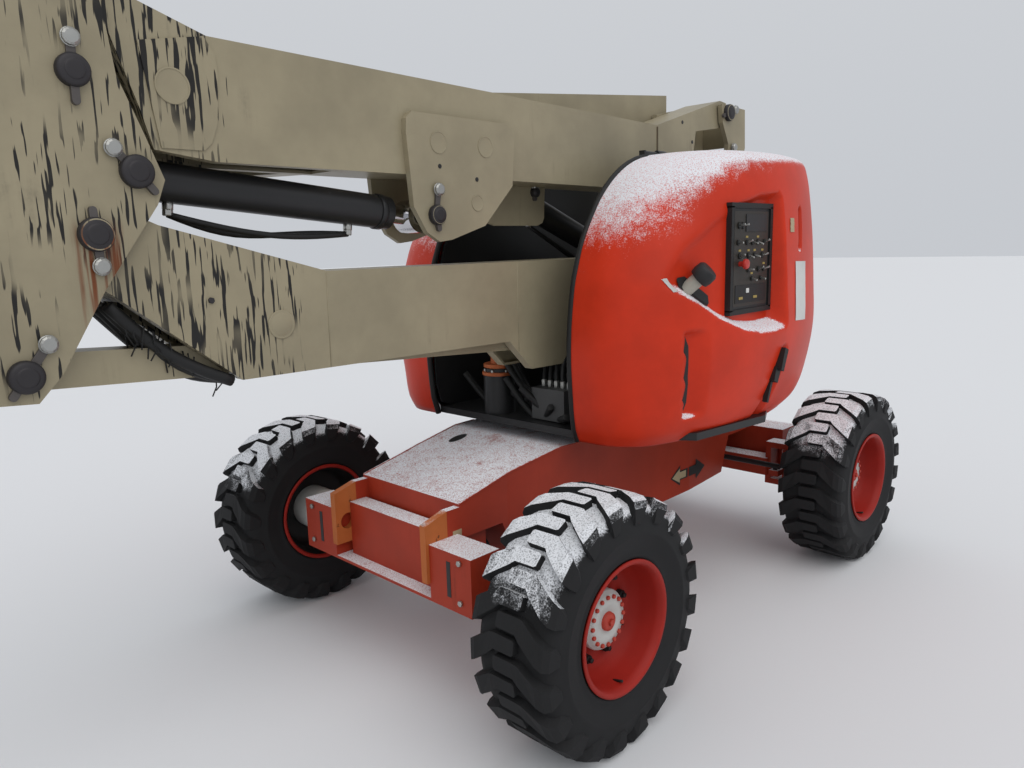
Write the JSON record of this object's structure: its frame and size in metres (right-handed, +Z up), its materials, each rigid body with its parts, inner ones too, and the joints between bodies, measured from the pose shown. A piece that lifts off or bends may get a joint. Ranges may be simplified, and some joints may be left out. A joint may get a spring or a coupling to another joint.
{
  "type": "articulating boom lift",
  "caption": "Self-propelled articulating boom lift with a folding tower, telescoping main boom, jib and work platform, stowed on its wheels.",
  "frame": {"origin": "centre of the bounding box on the ground under the tyres", "axes": "+X from the platform towards the steered axle, +Y to the left seen from the platform end looking along +X, +Z up"},
  "size_m": [6.43, 2.019, 2.3849],
  "materials": {
    "chassis_paint": "worn satin",
    "boom_paint": "worn satin",
    "hood_plastic": "moulded, glossy",
    "tyre_rubber": "matt",
    "rim_paint": "satin",
    "black_paint": "satin",
    "steel": "greased",
    "cast_grey": "rough",
    "chromed_rod": "polished",
    "panel_plastic": "matt",
    "tank_plastic": "matt"
  },
  "bodies": {
    "chassis": {"chassis_frame": "chassis_paint", "tie_down_lugs": "chassis_paint", "drive_axle": "chassis_paint", "steer_axle": "chassis_paint", "slew_ring": "cast_grey"},
    "steer_knuckle_left": {"steer_knuckle_left": "chassis_paint"},
    "steer_knuckle_right": {"steer_knuckle_right": "chassis_paint"},
    "tie_rod": {"tie_rod": "black_paint"},
    "wheel_drive_left": {"tyre_drive_left": "tyre_rubber", "rim_drive_left": "rim_paint"},
    "wheel_drive_right": {"tyre_drive_right": "tyre_rubber", "rim_drive_right": "rim_paint"},
    "wheel_steer_left": {"tyre_steer_left": "tyre_rubber", "rim_steer_left": "rim_paint"},
    "wheel_steer_right": {"tyre_steer_right": "tyre_rubber", "rim_steer_right": "rim_paint"},
    "turntable": {"turntable": "black_paint", "counterweight": "cast_grey", "engine_block": "cast_grey", "fuel_tank": "tank_plastic", "swing_drive": "black_paint", "ground_panel": "panel_plastic"},
    "hood_left": {"hood_left": "hood_plastic"},
    "hood_right": {"hood_right": "hood_plastic"},
    "lower_boom": {"lower_boom": "boom_paint"},
    "timing_link": {"timing_link": "boom_paint"},
    "knuckle": {"knuckle": "boom_paint"},
    "mid_boom": {"mid_boom": "boom_paint"},
    "mid_link": {"mid_link": "boom_paint"},
    "upright": {"upright": "boom_paint"},
    "tower_lift_barrel": {"tower_lift_barrel": "black_paint"},
    "tower_lift_rod": {"tower_lift_rod": "chromed_rod"},
    "main_boom_base": {"main_boom_base": "boom_paint"},
    "main_boom_fly": {"main_boom_fly": "boom_paint"},
    "main_lift_barrel": {"main_lift_barrel": "black_paint"},
    "main_lift_rod": {"main_lift_rod": "chromed_rod"},
    "jib_bracket": {"jib_bracket": "boom_paint"},
    "jib_boom": {"jib_boom": "boom_paint"},
    "jib_link": {"jib_link": "boom_paint"},
    "jib_lift_cylinder_barrel": {"jib_lift_barrel": "black_paint"},
    "jib_lift_cylinder_rod": {"jib_lift_rod": "chromed_rod"},
    "platform_support": {"platform_support": "boom_paint"},
    "platform": {"platform_floor": "boom_paint", "rail_posts": "boom_paint", "guard_rails": "boom_paint", "console": "panel_plastic"},
    "gate": {"gate": "boom_paint"}
  },
  "joints": [
    {"name": "swing", "type": "hinge", "parent": "chassis", "child": "turntable", "pos_m": [1.765, 0, 0.76], "axis": [0, 0, 1], "range_deg": [-177, 177]},
    {"name": "lower_boom_lift", "type": "hinge", "parent": "turntable", "child": "lower_boom", "pos_m": [2.565, -0.14, 1.504], "axis": [0, 1, 0], "range_deg": [0, 62]},
    {"name": "knuckle_level", "type": "hinge", "parent": "lower_boom", "child": "knuckle", "pos_m": [-0.446, -0.14, 1.67], "axis": [0, 1, 0], "range_deg": [-62, 0]},
    {"name": "timing_link_turn", "type": "hinge", "parent": "knuckle", "child": "timing_link", "pos_m": [-0.634, -0.14, 1.345], "axis": [0, 1, 0], "range_deg": [0, 62]},
    {"name": "mid_boom_lift", "type": "hinge", "parent": "knuckle", "child": "mid_boom", "pos_m": [-0.505, -0.14, 2.285], "axis": [0, 1, 0], "range_deg": [-62, 0]},
    {"name": "mid_link_turn", "type": "hinge", "parent": "knuckle", "child": "mid_link", "pos_m": [-0.453, -0.14, 2.048], "axis": [0, 1, 0], "range_deg": [-62, 0]},
    {"name": "upright_level", "type": "hinge", "parent": "mid_boom", "child": "upright", "pos_m": [2.614, -0.14, 2.25], "axis": [0, 1, 0], "range_deg": [0, 62]},
    {"name": "tower_lift_barrel_turn", "type": "hinge", "parent": "knuckle", "child": "tower_lift_barrel", "pos_m": [-0.334, -0.14, 1.823], "axis": [0, 1, 0], "range_deg": [-61.29, 0]},
    {"name": "tower_lift_rod_slide", "type": "slide", "parent": "tower_lift_barrel", "child": "tower_lift_rod", "axis": [0.9951, 0, -0.0985], "range_m": [0, 0.5112]},
    {"name": "main_boom_lift", "type": "hinge", "parent": "upright", "child": "main_boom_base", "pos_m": [2.385, 0.1, 2.19], "axis": [0, 1, 0], "range_deg": [0, 78]},
    {"name": "fly_extend", "type": "slide", "parent": "main_boom_base", "child": "main_boom_fly", "axis": [-0.9948, 0, -0.1015], "range_m": [0, 1.25]},
    {"name": "main_lift_barrel_turn", "type": "hinge", "parent": "upright", "child": "main_lift_barrel", "pos_m": [2.555, 0.1, 1.38], "axis": [0, 1, 0], "range_deg": [0, 49.56]},
    {"name": "main_lift_rod_slide", "type": "slide", "parent": "main_lift_barrel", "child": "main_lift_rod", "axis": [-0.9316, 0, 0.3636], "range_m": [0, 0.5844]},
    {"name": "jib_bracket_level", "type": "hinge", "parent": "main_boom_fly", "child": "jib_bracket", "pos_m": [-1.61, 0.1, 1.69], "axis": [0, 1, 0], "range_deg": [-78, 0]},
    {"name": "jib_lift", "type": "hinge", "parent": "jib_bracket", "child": "jib_boom", "pos_m": [-1.675, 0.1, 1.65], "axis": [0, 1, 0], "range_deg": [0, 140]},
    {"name": "jib_link_turn", "type": "hinge", "parent": "jib_bracket", "child": "jib_link", "pos_m": [-1.718, 0.1, 1.455], "axis": [0, 1, 0], "range_deg": [0, 140]},
    {"name": "platform_level", "type": "hinge", "parent": "jib_boom", "child": "platform_support", "pos_m": [-2.233, 0.1, 0.61], "axis": [0, 1, 0], "range_deg": [-140, 0]},
    {"name": "jib_lift_cylinder_barrel_turn", "type": "hinge", "parent": "jib_bracket", "child": "jib_lift_cylinder_barrel", "pos_m": [-1.653, 0.1, 1.54], "axis": [0, 1, 0], "range_deg": [0, 135.11]},
    {"name": "jib_lift_cylinder_rod_slide", "type": "slide", "parent": "jib_lift_cylinder_barrel", "child": "jib_lift_cylinder_rod", "axis": [-0.4679, 0, -0.8838], "range_m": [0, 0.2077]},
    {"name": "platform_rotate", "type": "hinge", "parent": "platform_support", "child": "platform", "pos_m": [-2.343, 0.1, 0.48], "axis": [0, 0, 1], "range_deg": [-90, 90]},
    {"name": "gate_swing", "type": "hinge", "parent": "platform", "child": "gate", "pos_m": [-2.545, -0.896, 0.8], "axis": [0, 0, 1], "range_deg": [-85, 0]},
    {"name": "steer_left", "type": "hinge", "parent": "chassis", "child": "steer_knuckle_left", "pos_m": [2.795, 0.59, 0.42], "axis": [0, 0, 1], "range_deg": [-33, 33]},
    {"name": "steer_right", "type": "hinge", "parent": "chassis", "child": "steer_knuckle_right", "pos_m": [2.795, -0.59, 0.42], "axis": [0, 0, 1], "range_deg": [-33, 33]},
    {"name": "tie_rod_slide", "type": "slide", "parent": "chassis", "child": "tie_rod", "axis": [0, 1, 0], "range_m": [-0.1, 0.1]},
    {"name": "wheel_steer_left_spin", "type": "hinge", "parent": "steer_knuckle_left", "child": "wheel_steer_left", "pos_m": [2.795, 0.8545, 0.42], "axis": [0, 1, 0], "continuous": true},
    {"name": "wheel_steer_right_spin", "type": "hinge", "parent": "steer_knuckle_right", "child": "wheel_steer_right", "pos_m": [2.795, -0.8545, 0.42], "axis": [0, 1, 0], "continuous": true},
    {"name": "wheel_drive_left_spin", "type": "hinge", "parent": "chassis", "child": "wheel_drive_left", "pos_m": [0.735, 0.8545, 0.42], "axis": [0, 1, 0], "continuous": true},
    {"name": "wheel_drive_right_spin", "type": "hinge", "parent": "chassis", "child": "wheel_drive_right", "pos_m": [0.735, -0.8545, 0.42], "axis": [0, 1, 0], "continuous": true},
    {"name": "hood_left_open", "type": "hinge", "parent": "turntable", "child": "hood_left", "pos_m": [1.765, 0.42, 1.98], "axis": [1, 0, 0], "range_deg": [0, 55]},
    {"name": "hood_right_open", "type": "hinge", "parent": "turntable", "child": "hood_right", "pos_m": [1.765, -0.42, 1.98], "axis": [1, 0, 0], "range_deg": [-55, 0]}
  ],
  "couplings": [
    {"joint": "knuckle_level", "follows": "lower_boom_lift", "ratio": -1},
    {"joint": "timing_link_turn", "follows": "lower_boom_lift", "ratio": 1},
    {"joint": "mid_boom_lift", "follows": "lower_boom_lift", "ratio": -1},
    {"joint": "mid_link_turn", "follows": "lower_boom_lift", "ratio": -1},
    {"joint": "upright_level", "follows": "lower_boom_lift", "ratio": 1},
    {"joint": "tower_lift_barrel_turn", "follows": "lower_boom_lift", "ratio": -0.97238},
    {"joint": "tower_lift_rod_slide", "follows": "lower_boom_lift", "m_per_rad": 0.46775},
    {"joint": "main_lift_barrel_turn", "follows": "main_boom_lift", "ratio": 0.62261},
    {"joint": "main_lift_rod_slide", "follows": "main_boom_lift", "m_per_rad": 0.42561},
    {"joint": "jib_bracket_level", "follows": "main_boom_lift", "ratio": -1},
    {"joint": "jib_link_turn", "follows": "jib_lift", "ratio": 1},
    {"joint": "platform_level", "follows": "jib_lift", "ratio": -1},
    {"joint": "jib_lift_cylinder_barrel_turn", "follows": "jib_lift", "ratio": 0.95794},
    {"joint": "jib_lift_cylinder_rod_slide", "follows": "jib_lift", "m_per_rad": 0.082938},
    {"joint": "steer_right", "follows": "steer_left", "ratio": 1},
    {"joint": "tie_rod_slide", "follows": "steer_left", "m_per_rad": -0.149}
  ]
}
